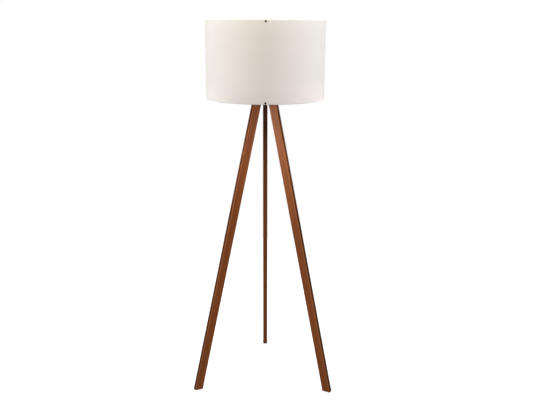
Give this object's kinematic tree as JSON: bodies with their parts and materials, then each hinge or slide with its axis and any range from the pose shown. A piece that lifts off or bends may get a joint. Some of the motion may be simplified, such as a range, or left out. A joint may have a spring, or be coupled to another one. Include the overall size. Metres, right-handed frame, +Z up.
{
  "type": "tripod floor lamp",
  "caption": "Floor lamp with a straight drum shade of off-white fabric on splayed rectangular wooden legs that hinge under a steel hub.",
  "frame": {"origin": "on the floor, at the middle of the lamp's bounding box; the lamp's own axis is 45.4 mm towards -Y from it", "axes": "+Z up along the lamp's axis, -Y to the front (the side between the two front legs, with the seam rivets), +X to the right seen from the front"},
  "size_m": [0.5736, 0.5626, 1.5],
  "materials": {
    "walnut": "satin stained wood, straight grain",
    "felt": "felt",
    "black_steel": "satin black powder coat",
    "zinc_steel": "bright zinc",
    "brass": "satin",
    "black_plastic": "satin moulded",
    "porcelain": "glazed porcelain",
    "nickel": "bright nickel",
    "white_plastic": "satin moulded",
    "opal_plastic": "opal diffuser",
    "circuit_board": "white coated board",
    "cream_fabric": "fine plain weave, off-white",
    "white_liner": "smooth white sheet",
    "white_wire": "white coated wire"
  },
  "bodies": {
    "hub": {"hub_plate": "black_steel", "leg_bracket_back": "black_steel", "hinge_bolt_back": "zinc_steel", "hinge_nut_back": "zinc_steel", "head_washer_back": "zinc_steel", "nut_washer_back": "zinc_steel", "bracket_screw_back_inner": "zinc_steel", "bracket_screw_back_outer": "zinc_steel", "leg_bracket_front_left": "black_steel", "hinge_bolt_front_left": "zinc_steel", "hinge_nut_front_left": "zinc_steel", "head_washer_front_left": "zinc_steel", "nut_washer_front_left": "zinc_steel", "bracket_screw_front_left_inner": "zinc_steel", "bracket_screw_front_left_outer": "zinc_steel", "leg_bracket_front_right": "black_steel", "hinge_bolt_front_right": "zinc_steel", "hinge_nut_front_right": "zinc_steel", "head_washer_front_right": "zinc_steel", "nut_washer_front_right": "zinc_steel", "bracket_screw_front_right_inner": "zinc_steel", "bracket_screw_front_right_outer": "zinc_steel", "threaded_nipple": "zinc_steel", "nipple_washer": "zinc_steel", "nipple_locknut": "zinc_steel", "cord_grip": "black_plastic", "cord_grip_screw": "zinc_steel", "lampholder_cap": "black_plastic", "lampholder_skirt": "black_plastic", "lampholder_insert": "porcelain", "lampholder_screw_shell": "brass", "lampholder_centre_contact": "brass", "terminal_screw_live": "brass", "terminal_screw_neutral": "brass"},
    "leg_back": {"leg_back": "walnut", "felt_pad_back": "felt"},
    "leg_front_left": {"leg_front_left": "walnut", "felt_pad_front_left": "felt"},
    "leg_front_right": {"leg_front_right": "walnut", "felt_pad_front_right": "felt"},
    "shade_ring": {"shade_ring": "black_plastic"},
    "bulb": {"bulb_contact": "brass", "bulb_insulator": "black_plastic", "bulb_screw_cap": "nickel", "bulb_housing": "white_plastic", "bulb_light_board": "circuit_board", "bulb_globe": "opal_plastic"},
    "shade": {"shade_cover": "cream_fabric", "shade_liner": "white_liner", "shade_top_hoop": "white_wire", "shade_frame": "white_wire", "seam_rivet_top": "black_plastic", "seam_rivet_cap_top": "black_plastic", "seam_rivet_bottom": "black_plastic", "seam_rivet_cap_bottom": "black_plastic"}
  },
  "joints": [
    {"name": "leg_back_fold", "type": "hinge", "parent": "hub", "child": "leg_back", "pos_m": [0, -0.01737, 1.22], "axis": [-1, 0, 0], "range_deg": [0, 13]},
    {"name": "leg_front_left_fold", "type": "hinge", "parent": "hub", "child": "leg_front_left", "pos_m": [-0.02425, -0.05937, 1.22], "axis": [0.5, -0.866, 0], "range_deg": [0, 13]},
    {"name": "leg_front_right_fold", "type": "hinge", "parent": "hub", "child": "leg_front_right", "pos_m": [0.02425, -0.05937, 1.22], "axis": [0.5, 0.866, 0], "range_deg": [0, 13]},
    {"name": "shade_turn", "type": "hinge", "parent": "hub", "child": "shade", "pos_m": [0, -0.04537, 1.2665], "axis": [0, 0, 1], "continuous": true},
    {"name": "shade_ring_turn", "type": "hinge", "parent": "hub", "child": "shade_ring", "pos_m": [0, -0.04537, 1.2688], "axis": [0, 0, 1], "continuous": true},
    {"name": "bulb_lift_out", "type": "slide", "parent": "hub", "child": "bulb", "axis": [0, 0, 1], "range_m": [0, 0.235]}
  ]
}
